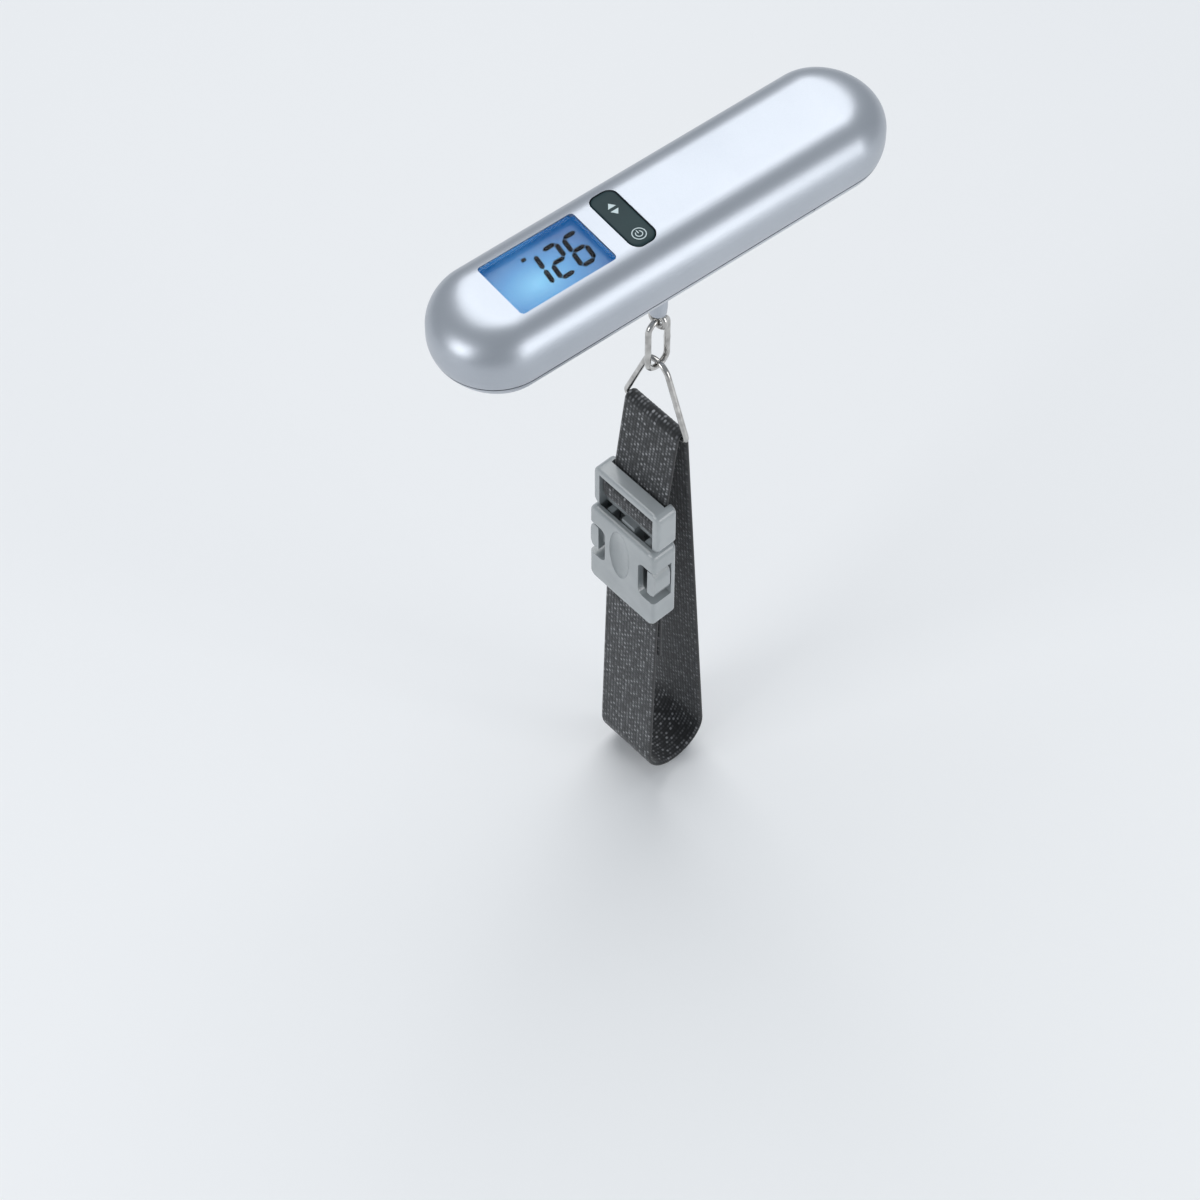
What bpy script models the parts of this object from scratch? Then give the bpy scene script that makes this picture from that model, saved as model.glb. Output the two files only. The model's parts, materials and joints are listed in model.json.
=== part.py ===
"""Digital luggage scale: a pill-shaped case that is held as a handle, with a strap loop under it.

The origin is the middle of the case. +X runs along the case away from the display, +Y away from
the reader of the display, and +Z up. Lengths are given in millimetres, and the helpers turn them
into metres. Each named object is one physical piece.
"""
import math

import bmesh
import bpy
from mathutils import Matrix, Vector

MM = 0.001
FIT = 0.3             # clearance between neighbouring pieces

# Case: a stadium in plan, with a flat top and bottom and wide rounded edges.
BODY_LENGTH = 169.5
BODY_WIDTH = 41.5
BODY_TOP = 15.5
BODY_BOTTOM = -15.5
WAIST_TOP = 2.5       # the side wall is upright between these two heights
WAIST_LOW = 0.0
TOP_ROUND = 11.5      # how far in the rounded edge reaches at the top
LOW_ROUND = 13.0
END_ROUND = 1.35      # the two ends are rounder than the sides by this factor
SEAM = -4.8           # where upper and lower case meet
WALL = 2.0
CAP_STEPS = 16        # steps round each end of the outline
EDGE_STEPS = 7        # steps up each rounded edge

# Display and key, both centred on the case's long axis.
WINDOW_X, WINDOW_SIZE = -43.5, (36.4, 22.8)
KEY_X, KEY_SIZE, KEY_CORNER = -14.5, (9.4, 24.2), 3.3
KEY_GAP = 0.4
KEY_SINK = 0.1        # how far the crowned key lies under the case's own surface
KEY_PIVOT_Z = 10.5
SWITCH_Y = 7.5

# Board, load cell and battery.
BOARD = ((-66.0, -13.5, 4.8), (-5.0, 13.5, 6.0))
CELL_BAR = ((-6.0, -6.0, -7.0), (40.0, 6.0, 0.0))
CELL_SCREW_X = (29.0, 36.0)
BRACKET_SCREW = (33.0, 11.5)
CASE_SCREWS = ((-72.5, 0.0), (4.0, 12.5), (4.0, -12.5), (72.5, 0.0))
DOOR_X = 46.0
TRAY = (-6.2, -5.0)
COIN_X, COIN_RADIUS, COIN = 59.0, 10.0, (-11.9, -8.7)

# The strap hangs turned by this many degrees from the case's own axes, as in the photograph.
SWIVEL = 4.0

# Hanger, from the top down: neck, eye, chain link, triangular ring.
NECK_RADIUS, NECK_BOTTOM = 3.1, -38.4
EYE_Z, EYE_RADIUS, EYE_WIRE = -42.8, 3.2, 1.0
LINK_TOP, LINK_BOTTOM, LINK_HALF, LINK_WIRE = -43.6, -66.4, 4.1, 1.05
RING_APEX, RING_APEX_RADIUS = -64.1, 5.6
RING_BAR, RING_HALF, RING_CORNER, RING_WIRE = -92.6, 14.0, 1.6, 1.0

# Webbing: 25 mm tape, seen from the side as a path in X and Z.
TAPE_WIDTH, TAPE = 25.0, 1.5
TAPE_REACH = TAPE / 2 + FIT
GRIP = (0.4, -264.0, 12.4)       # centre and path radius of the turn round the luggage handle
SOCKET_BAR = (-9.0, -173.8, 1.5)
LADDER = (-8.6, -129.8, -133.8)  # X and the two corner heights of the bar the tape is threaded over
LADDER_TURN = 2.7
TAPE_BACK = -3.4                 # X of the tape's loose end behind the buckle
TAPE_END = -156.0                # how far down the loose end reaches
SEWN = (-9.7, -184.3)            # where the folded end lies back on the loop, and its length
SEWN_LENGTH = 22.0

# Buckle
PLUG_FRAME = ((-13.2, -15.9, -141.0), (-4.8, 15.9, -122.0))
SOCKET = ((-15.0, -15.9, -180.0), (-4.6, 15.9, -141.3))
CAVITY = ((-12.5, -13.7, -166.5), (-6.7, 13.7, -140.4))
SLOT_HALF = 12.95
WINDOW_TOP, WINDOW_LOW, WINDOW_INNER = -150.0, -167.0, 8.2
ARM_PIVOT = (9.2, -143.2)        # Y and Z of the left arm's root
ARM_X, PAD_X = (-12.0, -7.6), (-14.4, -7.5)
DIMPLE = (1.0, -155.5)

HUNG = ("swivel_eye", "chain_link", "strap_ring", "strap_webbing", "buckle_plug",
        "plug_arm_left", "plug_arm_right", "buckle_socket")

MATERIALS = {
    "silver_plastic": ((0.62, 0.66, 0.72), 0.32, 0.35),
    "key_rubber": ((0.02, 0.05, 0.06), 0.55, 0.0),
    "clear_lens": ((0.55, 0.78, 0.95), 0.08, 0.0),
    "display_blue": ((0.12, 0.42, 0.75), 0.25, 0.0),
    "white_plastic": ((0.85, 0.86, 0.86), 0.45, 0.0),
    "black_rubber": ((0.02, 0.02, 0.02), 0.7, 0.0),
    "board_green": ((0.03, 0.22, 0.10), 0.45, 0.0),
    "black_plastic": ((0.02, 0.02, 0.025), 0.4, 0.0),
    "steel": ((0.62, 0.62, 0.63), 0.25, 1.0),
    "aluminium": ((0.72, 0.73, 0.75), 0.35, 1.0),
    "brass": ((0.75, 0.58, 0.28), 0.3, 1.0),
    "gauge_film": ((0.75, 0.5, 0.15), 0.5, 0.0),
    "wire_red": ((0.55, 0.03, 0.03), 0.5, 0.0),
    "wire_black": ((0.02, 0.02, 0.02), 0.5, 0.0),
    "webbing": ((0.045, 0.05, 0.055), 0.9, 0.0),
    "buckle_grey": ((0.36, 0.40, 0.42), 0.4, 0.0),
}


# ---------------------------------------------------------------- helpers

def collection(name):
    """A collection of this name, linked into the scene."""
    group = bpy.data.collections.get(name) or bpy.data.collections.new(name)
    if name not in bpy.context.scene.collection.children:
        bpy.context.scene.collection.children.link(group)
    return group


def place(item, material=None):
    """Link an object as a part with its material, or as a hidden cutter when it has none."""
    for group in list(item.users_collection):
        group.objects.unlink(item)
    if material:
        collection("luggage_scale").objects.link(item)
        item.data.materials.clear()
        item.data.materials.append(bpy.data.materials[material])
    else:
        collection("cutters").objects.link(item)
        item.hide_render = True
        item.display_type = "WIRE"
    return item


def make_materials():
    """One Principled material for each entry of MATERIALS."""
    for name, (colour, roughness, metallic) in MATERIALS.items():
        shader = bpy.data.materials.new(name)
        shader.use_nodes = True
        sockets = shader.node_tree.nodes["Principled BSDF"].inputs
        sockets["Base Color"].default_value = (*colour, 1.0)
        sockets["Roughness"].default_value = roughness
        sockets["Metallic"].default_value = metallic


def from_bmesh(name, bm, material=None):
    """An object made from a bmesh whose coordinates are in millimetres."""
    bmesh.ops.scale(bm, vec=(MM, MM, MM), verts=bm.verts)
    bmesh.ops.recalc_face_normals(bm, faces=bm.faces)
    mesh = bpy.data.meshes.new(name)
    bm.to_mesh(mesh)
    bm.free()
    return place(bpy.data.objects.new(name, mesh), material)


def box(name, low, high, material=None, round_edges=0.0, steps=3):
    """A box between two corners, with all its edges rounded if asked."""
    bm = bmesh.new()
    bmesh.ops.create_cube(bm, size=1.0)
    low, high = Vector(low), Vector(high)
    bmesh.ops.scale(bm, vec=high - low, verts=bm.verts)
    bmesh.ops.translate(bm, vec=(low + high) / 2, verts=bm.verts)
    item = from_bmesh(name, bm, material)
    if round_edges:
        bevel = item.modifiers.new("round_edges", "BEVEL")
        bevel.width = round_edges * MM
        bevel.segments = steps
    return item


def rod(name, start, end, radius, material=None, sides=24, radius_end=None):
    """A cylinder or cone between two points."""
    start, end = Vector(start), Vector(end)
    bm = bmesh.new()
    bmesh.ops.create_cone(bm, cap_ends=True, segments=sides, radius1=radius,
                          radius2=radius if radius_end is None else radius_end,
                          depth=(end - start).length)
    turn = (end - start).to_track_quat("Z", "Y").to_matrix().to_4x4()
    bmesh.ops.transform(bm, matrix=Matrix.Translation((start + end) / 2) @ turn, verts=bm.verts)
    return from_bmesh(name, bm, material)


def turned(name, profile, material=None, steps=32):
    """A profile of (radius, z) points, closed on itself, turned once about the Z axis."""
    bm = bmesh.new()
    points = [bm.verts.new((radius, 0.0, z)) for radius, z in profile]
    for start, end in zip(points, points[1:] + points[:1]):
        bm.edges.new((start, end))
    bmesh.ops.scale(bm, vec=(MM, MM, MM), verts=bm.verts)
    mesh = bpy.data.meshes.new(name)
    bm.to_mesh(mesh)
    bm.free()
    item = place(bpy.data.objects.new(name, mesh), material)
    screw = item.modifiers.new("turn", "SCREW")
    screw.steps = screw.render_steps = steps
    screw.use_merge_vertices = True
    screw.merge_threshold = 0.00001
    return item


def wire(name, points, radius, material, closed=False, fineness=3):
    """A round wire along a list of points."""
    curve = bpy.data.curves.new(name, "CURVE")
    curve.dimensions = "3D"
    curve.bevel_depth = radius * MM
    curve.bevel_resolution = fineness
    curve.use_fill_caps = not closed
    spline = curve.splines.new("POLY")
    spline.points.add(len(points) - 1)
    for knot, point in zip(spline.points, points):
        knot.co = (*(Vector(point) * MM), 1.0)
    spline.use_cyclic_u = closed
    return place(bpy.data.objects.new(name, curve), material)


def smooth_route(points, spacing=3.0):
    """Points read from a smooth curve through a few route points."""
    ends = [2 * Vector(points[0]) - Vector(points[1])] + [Vector(p) for p in points]
    ends.append(2 * ends[-1] - ends[-2])
    route = []
    for before, start, end, after in zip(ends, ends[1:], ends[2:], ends[3:]):
        steps = max(2, round((end - start).length / spacing))
        for step in range(steps):
            t = step / steps
            route.append(0.5 * (2 * start + (end - before) * t
                                + (2 * before - 5 * start + 4 * end - after) * t ** 2
                                + (3 * start - before - 3 * end + after) * t ** 3))
    return route + [ends[-2]]


def plate(name, outline, x_low, x_high, material=None):
    """A flat outline of (y, z) points, extruded along X."""
    bm = bmesh.new()
    face = bm.faces.new([bm.verts.new((x_low, y, z)) for y, z in outline])
    extruded = bmesh.ops.extrude_face_region(bm, geom=[face])["geom"]
    raised = [item for item in extruded if isinstance(item, bmesh.types.BMVert)]
    bmesh.ops.translate(bm, vec=(x_high - x_low, 0.0, 0.0), verts=raised)
    return from_bmesh(name, bm, material)


def apply_boolean(part, tool, operation):
    """A Boolean modifier on part that uses tool, which must be a cutter."""
    boolean = part.modifiers.new(tool.name, "BOOLEAN")
    boolean.operation = operation
    boolean.object = tool
    boolean.solver = "EXACT"
    return part


def cut(part, *tools):
    """Take each tool away from the part."""
    for tool in tools:
        apply_boolean(part, tool, "DIFFERENCE")
    return part


def join(part, *tools):
    """Join each tool to the part, as one body."""
    for tool in tools:
        apply_boolean(part, tool, "UNION")
    return part


def smooth(part, angle=35.0):
    """Shade a turned or rounded mesh smooth, with sharp edges kept."""
    part.data.shade_smooth()
    part.data.set_sharp_from_angle(angle=math.radians(angle))
    return part


def arc(centre, radius, start, end, steps):
    """Points on an arc, from one angle to another in degrees."""
    angles = [math.radians(start + (end - start) * step / steps) for step in range(steps + 1)]
    return [(centre[0] + radius * math.cos(a), centre[1] + radius * math.sin(a)) for a in angles]


def tangent_angle(first, first_radius, second, second_radius):
    """Angle in degrees of the normal at which one line touches both circles on its left side."""
    gap = Vector(second) - Vector(first)
    swing = math.acos((first_radius - second_radius) / gap.length)
    return math.degrees(math.atan2(gap.y, gap.x) + swing)


# ---------------------------------------------------------------- case

def edge_inset(z, wall):
    """How far the surface behind a wall has come in from its widest outline at height z."""
    if WAIST_LOW <= z <= WAIST_TOP:
        return 0.0
    if z > WAIST_TOP:
        reach, height, share = TOP_ROUND - wall, BODY_TOP - wall - WAIST_TOP, z - WAIST_TOP
    else:
        reach, height, share = LOW_ROUND - wall, WAIST_LOW - BODY_BOTTOM - wall, WAIST_LOW - z
    return reach * (1 - math.sqrt(max(0.0, 1 - (share / height) ** 2)))


def case_outline(z, wall):
    """The case's outline at height z: two straight sides with half an ellipse at each end."""
    inset = edge_inset(z, wall)
    straight = (BODY_LENGTH - BODY_WIDTH) / 2
    half_width = BODY_WIDTH / 2 - wall - inset
    end_reach = BODY_WIDTH / 2 - wall - END_ROUND * inset
    points = []
    for side in (1, -1):
        for step in range(CAP_STEPS + 1):
            angle = math.pi * (step / CAP_STEPS - 0.5)
            points.append((side * (straight + end_reach * math.cos(angle)),
                           side * half_width * math.sin(angle), z))
    return points


def pill(name, z_low, z_high, wall=0.0, material=None):
    """A closed slice of the case's outer shape, or of the space behind a wall of it."""
    quarter = [math.sin(math.radians(90 * step / EDGE_STEPS)) for step in range(EDGE_STEPS + 1)]
    heights = [WAIST_TOP + (BODY_TOP - wall - WAIST_TOP) * share for share in quarter]
    heights += [WAIST_LOW - (WAIST_LOW - BODY_BOTTOM - wall) * share for share in quarter]
    levels = sorted({z_low, z_high, *(z for z in heights if z_low + 0.2 < z < z_high - 0.2)})
    bm = bmesh.new()
    rings = [[bm.verts.new(point) for point in case_outline(z, wall)] for z in levels]
    for lower, upper in zip(rings, rings[1:]):
        for a, b, c, d in zip(lower, lower[1:] + lower[:1], upper[1:] + upper[:1], upper):
            bm.faces.new((a, b, c, d))
    bm.faces.new(rings[0])
    bm.faces.new(rings[-1])
    return from_bmesh(name, bm, material)


def opening(name, centre_x, size, z_low, z_high, corner):
    """A cutter for an oblong hole with round corners in the top of the case."""
    half = (size[0] / 2, size[1] / 2)
    cutter = box(name, (centre_x - half[0], -half[1], z_low), (centre_x + half[0], half[1], z_high))
    round_corners(cutter, corner)
    return cutter


def round_corners(item, radius, steps=5):
    """Round only the edges of a box that run up and down."""
    bm = bmesh.new()
    bm.from_mesh(item.data)
    upright = [e for e in bm.edges if abs(e.verts[0].co.z - e.verts[1].co.z) > 0.5 * MM
               and (e.verts[0].co.xy - e.verts[1].co.xy).length < 0.01 * MM]
    bmesh.ops.bevel(bm, geom=upright, offset=radius * MM, segments=steps, affect="EDGES",
                    profile=0.5)
    bm.to_mesh(item.data)
    bm.free()


def make_upper_case():
    """The upper shell with its display and key openings, screw bosses and key cradles."""
    part = pill("upper_case", SEAM, BODY_TOP, material="silver_plastic")
    cut(part, pill("upper_cavity", SEAM - 1, BODY_TOP - WALL, WALL))
    for number, (x, y) in enumerate(CASE_SCREWS, 1):
        foot = TRAY[1] + FIT if x > DOOR_X else SEAM + FIT
        join(part, rod(f"upper_boss_{number}", (x, y, foot), (x, y, 12.9 if y else 13.2), 3.0))
        cut(part, rod(f"upper_pilot_{number}", (x, y, SEAM - 1), (x, y, 2.0), 1.3, sides=12))
    for number, side in enumerate((1, -1), 1):
        x, y = BRACKET_SCREW[0], side * BRACKET_SCREW[1]
        join(part, rod(f"bracket_boss_{number}", (x, y, 2.6), (x, y, 13.0), 3.2))
        cut(part, rod(f"bracket_pilot_{number}", (x, y, 2.0), (x, y, 11.0), 1.3, sides=12))
    for number, side in enumerate((1, -1), 1):
        inner = KEY_X + side * (KEY_SIZE[0] / 2 + 0.6)
        low, high = sorted((inner, inner + side * 2.0))
        join(part, box(f"key_cradle_{number}", (low, -2.2, 8.6), (high, 2.2, 14.0)))
    cut(part, rod("cradle_bore", (KEY_X - 9, 0, KEY_PIVOT_Z), (KEY_X + 9, 0, KEY_PIVOT_Z), 1.3))
    key_hole = (KEY_SIZE[0] + 2 * KEY_GAP, KEY_SIZE[1] + 2 * KEY_GAP)
    cut(part, opening("window_opening", WINDOW_X, WINDOW_SIZE, 5.0, 18.0, 1.4),
        opening("key_opening", KEY_X, key_hole, 5.0, 18.0, KEY_CORNER + KEY_GAP))
    return smooth(part)


def lower_shell(name, material=None):
    """The whole lower shell, before the battery door is parted from it."""
    part = pill(name, BODY_BOTTOM, SEAM - FIT, material=material)
    return cut(part, pill(name + "_cavity", BODY_BOTTOM + WALL, SEAM + 1, WALL))


def make_lower_case():
    """The lower shell with the hanger's boss, the screw pillars and the battery tray."""
    part = lower_shell("lower_case", "silver_plastic")
    cut(part, box("door_space", (DOOR_X - FIT, -30, -20), (100, 30, 0)))
    inside = pill("case_inside", BODY_BOTTOM + 0.8, SEAM - FIT, 0.8)
    boss = turned("hanger_boss", [(8.2, -14.5), (8.2, -15.7), (7.0, -16.6), (6.3, -18.5),
                                  (6.0, -22.6), (5.4, -23.4), (3.0, -23.4), (3.0, -14.5)])
    join(part, boss)
    cut(part, rod("neck_bore", (0, 0, -26), (0, 0, -12), 3.7, sides=32))
    for number, (x, y) in enumerate(CASE_SCREWS[:3], 1):
        pillar = rod(f"pillar_{number}", (x, y, -15.0), (x, y, SEAM), 3.4)
        join(part, apply_boolean(pillar, inside, "INTERSECT"))
    bulkhead = box("bulkhead", (43.6, -25, -15), (45.6, 25, SEAM))
    join(part, apply_boolean(bulkhead, inside, "INTERSECT"),
         box("bulkhead_top", (43.8, -14.0, -10.0), (45.4, 14.0, TRAY[1] - 0.3)),
         box("tray_floor", (44.0, -12.0, TRAY[0]), (75.2, 12.0, TRAY[1])),
         rod("coin_wall", (COIN_X, 0, -11.6), (COIN_X, 0, TRAY[0] + 0.4), COIN_RADIUS + 1.7, sides=40),
         rod("tray_pillar", (*CASE_SCREWS[3], -10.9), (*CASE_SCREWS[3], TRAY[0] + 0.4), 3.2))
    cut(part, rod("coin_well", (COIN_X, 0, -15), (COIN_X, 0, TRAY[0]), COIN_RADIUS + FIT, sides=40),
        box("plus_notch", (55.5, 8.0, -15), (66.5, 13.0, TRAY[0])),
        box("plus_slot", (59.0, 9.9, -8), (65.0, 11.3, 0)),
        box("minus_slot", (50.6, -2.6, -8), (52.2, 2.6, 0)))
    for number, (x, y) in enumerate(CASE_SCREWS, 1):
        cut(part, rod(f"screw_hole_{number}", (x, y, -18), (x, y, 0), 1.3, sides=12),
            rod(f"screw_recess_{number}", (x, y, -20), (x, y, -10.6 if x < 50 else -9.2), 2.7))
    return smooth(part)


def make_battery_door():
    """The end of the lower shell, which slides off lengthwise over the battery."""
    part = lower_shell("battery_door", "silver_plastic")
    keep = box("door_keep", (DOOR_X, -30, -20), (100, 30, 0))
    apply_boolean(part, keep, "INTERSECT")
    for number in range(4):
        x = DOOR_X + 5 + 3.0 * number
        cut(part, box(f"door_groove_{number}", (x, -5, -16), (x + 1.4, 5, -14.9)))
    return smooth(part)


# ---------------------------------------------------------------- display and key

def make_display():
    """The lens, LCD, backlight, holder and contact strip over the board."""
    half = (WINDOW_SIZE[0] / 2 - 0.2, WINDOW_SIZE[1] / 2 - 0.2)
    lens = box("display_window", (WINDOW_X - half[0], -half[1], 12.3),
               (WINDOW_X + half[0], half[1], 15.0), "clear_lens")
    round_corners(lens, 1.2)
    join(lens, box("lens_flange", (WINDOW_X - 19.6, -12.1, 11.9), (WINDOW_X + 19.6, 12.1, 12.6)))
    box("lcd_panel", (WINDOW_X - 19.0, -11.9, 10.0), (WINDOW_X + 19.0, 11.9, 11.6), "display_blue")
    box("backlight", (WINDOW_X - 19.0, -11.9, 6.3), (WINDOW_X + 19.0, 10.1, 9.7), "white_plastic")
    box("lcd_contact_strip", (WINDOW_X - 17, 10.5, 6.3), (WINDOW_X + 17, 11.9, 9.7), "black_rubber")
    frame = box("display_frame", (WINDOW_X - 20.5, -13.1, 6.3), (WINDOW_X + 20.5, 13.1, 11.5),
                "white_plastic")
    cut(frame, box("frame_space", (WINDOW_X - 19.3, -12.2, 5), (WINDOW_X + 19.3, 12.2, 13)))


def make_key():
    """The two-way key: an oblong cap on two trunnions, with a foot over each switch."""
    half = (KEY_SIZE[0] / 2, KEY_SIZE[1] / 2)
    key = box("rocker_key", (KEY_X - half[0], -half[1], 11.6), (KEY_X + half[0], half[1], 16.5),
              "key_rubber")
    round_corners(key, KEY_CORNER, steps=7)
    crown = pill("key_crown", 5.0, BODY_TOP, KEY_SINK)
    apply_boolean(key, crown, "INTERSECT")
    trunnion = KEY_SIZE[0] / 2 + 2.2
    join(key, box("key_web", (KEY_X - 4.5, -2.0, 9.8), (KEY_X + 4.5, 2.0, 12.0)),
         rod("key_trunnions", (KEY_X - trunnion, 0, KEY_PIVOT_Z),
             (KEY_X + trunnion, 0, KEY_PIVOT_Z), 1.0, sides=16))
    for name, y in (("front_foot", -SWITCH_Y), ("rear_foot", SWITCH_Y)):
        join(key, rod(name, (KEY_X, y, 10.0), (KEY_X, y, 12.0), 1.8, sides=16))
    set_origin(key, (KEY_X, 0, KEY_PIVOT_Z))
    return smooth(key)


def make_board():
    """The main board and what is soldered to it."""
    box("main_board", *BOARD, "board_green")
    for name, y in (("switch_front", -SWITCH_Y), ("switch_rear", SWITCH_Y)):
        body = box(name, (KEY_X - 3, y - 3, 6.3), (KEY_X + 3, y + 3, 8.6), "black_plastic")
        join(body, rod(name + "_plunger", (KEY_X, y, 8.4), (KEY_X, y, 9.2), 1.6, sides=16))
    smooth(rod("controller_chip", (-40, 0, 4.5), (-40, 0, 2.9), 5.0, "black_plastic", 28, 3.2))
    smooth(rod("timing_crystal", (-32, 8, 3.2), (-26, 8, 3.2), 1.2, "steel", 16))


# ---------------------------------------------------------------- load cell and battery

def make_load_cell():
    """The bending beam, its bracket, screws, strain gauges and lead."""
    low, high = CELL_BAR
    middle = (low[2] + high[2]) / 2
    beam = box("load_cell", low, high, "aluminium")
    for number, x in enumerate((12.5, 20.5), 1):
        cut(beam, rod(f"beam_hole_{number}", (x, -10, middle), (x, 10, middle), 2.6))
    cut(beam, box("beam_slot", (12.5, -10, middle - 0.7), (20.5, 10, middle + 0.7)),
        rod("eye_hole", (0, 0, -10), (0, 0, 3), 2.4))
    bracket = box("load_cell_bracket", (22, -15.5, FIT), (44, 15.5, 2.3), "steel", 0.4, 1)
    for number, x in enumerate(CELL_SCREW_X, 1):
        cut(beam, rod(f"beam_bolt_hole_{number}", (x, 0, -10), (x, 0, 3), 1.8, sides=16))
        cut(bracket, rod(f"bracket_bolt_hole_{number}", (x, 0, -3), (x, 0, 5), 1.8, sides=16))
        screw(f"load_cell_screw_{number}", (x, 0, low[2] - FIT), 9.6, 1.5, 2.8)
    for number, side in enumerate((1, -1), 1):
        x, y = BRACKET_SCREW[0], side * BRACKET_SCREW[1]
        cut(bracket, rod(f"bracket_screw_hole_{number}", (x, y, -3), (x, y, 5), 1.3, sides=12))
        screw(f"bracket_screw_{number}", (x, y, 0.0), 9.5, 1.0, 2.3)
    box("strain_gauge_top", (13.0, -3.5, FIT), (20.0, 3.5, 0.8), "gauge_film")
    box("strain_gauge_bottom", (13.0, -3.5, -7.8), (20.0, 3.5, -7.3), "gauge_film")
    wire("gauge_lead", smooth_route([(17, 4.6, 1.8), (12, 7.2, 2.2), (2, 7.6, 2.6), (-8, 8.0, 3.6)]),
         0.7, "black_rubber", fineness=2)


def screw(name, seat, length, radius, head_radius):
    """A pan-head screw that points up, with the underside of its head at seat."""
    x, y, z = seat
    head = 1.5
    part = rod(name, (x, y, z - head), (x, y, z), head_radius * 0.8, "steel", 20, head_radius)
    join(part, rod(name + "_shank", (x, y, z - 0.5), (x, y, z + length), radius, sides=12))
    cut(part, box(name + "_slot_a", (x - 1.4, y - 0.3, z - 3), (x + 1.4, y + 0.3, z - head + 0.8)),
        box(name + "_slot_b", (x - 0.3, y - 1.4, z - 3), (x + 0.3, y + 1.4, z - head + 0.8)))
    return smooth(part)


def make_case_screws():
    """The four screws that hold the two halves of the case together."""
    for number, (x, y) in enumerate(CASE_SCREWS, 1):
        seat = -10.6 if x < 50 else -9.2
        screw(f"case_screw_{number}", (x, y, seat - FIT), 11.0, 1.0, 2.3)


def make_battery():
    """The coin cell, its two contacts and their leads to the board."""
    cell = smooth(rod("coin_cell", (COIN_X, 0, COIN[0]), (COIN_X, 0, COIN[1]), COIN_RADIUS,
                      "steel", 40))
    bevel = cell.modifiers.new("rim", "BEVEL")
    bevel.width, bevel.segments = 0.4 * MM, 2
    leaf = box("contact_minus", (51.0, -2.0, -7.0), (51.8, 2.0, -3.6), "brass")
    join(leaf, box("leaf_flat", (51.0, -2.0, -7.0), (64.0, 2.0, -6.6)),
         box("leaf_tip", (63.0, -2.0, -8.3), (64.0, 2.0, -6.8)))
    box("contact_plus", (59.6, 10.4, -12.4), (64.4, 10.9, -3.6), "brass")
    wire("battery_lead_black", smooth_route([(50.2, 1.0, -3.8), (44, 7.0, -3.3), (30, 7.6, -3.6),
                                             (10, 7.6, -3.4), (0, 7.4, -1.2), (-8, 4.4, 3.6)]),
         0.6, "wire_black", fineness=2)
    wire("battery_lead_red", smooth_route([(58.8, 10.6, -3.2), (54, 2.0, -2.6), (46, -7.0, -3.2),
                                           (30, -7.6, -3.6), (10, -7.6, -3.4), (0, -7.4, -1.0),
                                           (-8, -5.0, 3.6)]),
         0.6, "wire_red", fineness=2)


# ---------------------------------------------------------------- hanger

def make_eye():
    """The swivelling neck: eye with its shank, sleeve, washer and nut."""
    bpy.ops.mesh.primitive_torus_add(major_radius=EYE_RADIUS * MM, minor_radius=EYE_WIRE * MM,
                                     major_segments=24, minor_segments=10,
                                     location=(0, 0, EYE_Z * MM), rotation=(0, math.pi / 2, 0))
    eye = place(bpy.context.object, "steel")
    eye.name = eye.data.name = "swivel_eye"
    join(eye, rod("eye_shank", (0, 0, EYE_Z + EYE_RADIUS), (0, 0, 5.3), 2.0, sides=20))
    smooth(eye)
    sleeve = NECK_RADIUS
    turned("neck_sleeve", [(sleeve, -9.0), (sleeve, NECK_BOTTOM + 1.8), (sleeve - 0.25, -39.6),
                           (2.55, NECK_BOTTOM), (2.3, NECK_BOTTOM), (2.3, -9.0)], "silver_plastic")
    turned("thrust_washer", [(4.6, 0.9), (4.6, FIT), (2.3, FIT), (2.3, 0.9)], "brass")
    nut = rod("eye_nut", (0, 0, 1.2), (0, 0, 4.4), 3.9, "steel", 6)
    cut(nut, rod("nut_thread", (0, 0, 0), (0, 0, 6), 2.3))


def make_link():
    """The oval chain link, which hangs in the eye across it."""
    half = LINK_HALF
    top, bottom = (0, LINK_TOP - half), (0, LINK_BOTTOM + half)
    outline = arc(top, half, 0, 180, 14) + arc(bottom, half, 180, 360, 14)
    wire("chain_link", [(x, 0, z) for x, z in outline], LINK_WIRE, "steel", closed=True)


def make_ring():
    """The triangular ring: a round apex in the link and a straight bar in the tape."""
    apex = (0, RING_APEX - RING_APEX_RADIUS)
    corner = (RING_HALF - RING_CORNER, RING_BAR + RING_CORNER)
    side = tangent_angle(apex, RING_APEX_RADIUS, corner, RING_CORNER)
    outline = arc(apex, RING_APEX_RADIUS, 180 - side, side, 14)
    outline += arc(corner, RING_CORNER, side, -90, 8)
    outline += arc((-corner[0], corner[1]), RING_CORNER, -90, -180 - side, 8)
    wire("strap_ring", [(0, y, z) for y, z in outline], RING_WIRE, "steel", closed=True)


# ---------------------------------------------------------------- strap

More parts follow.
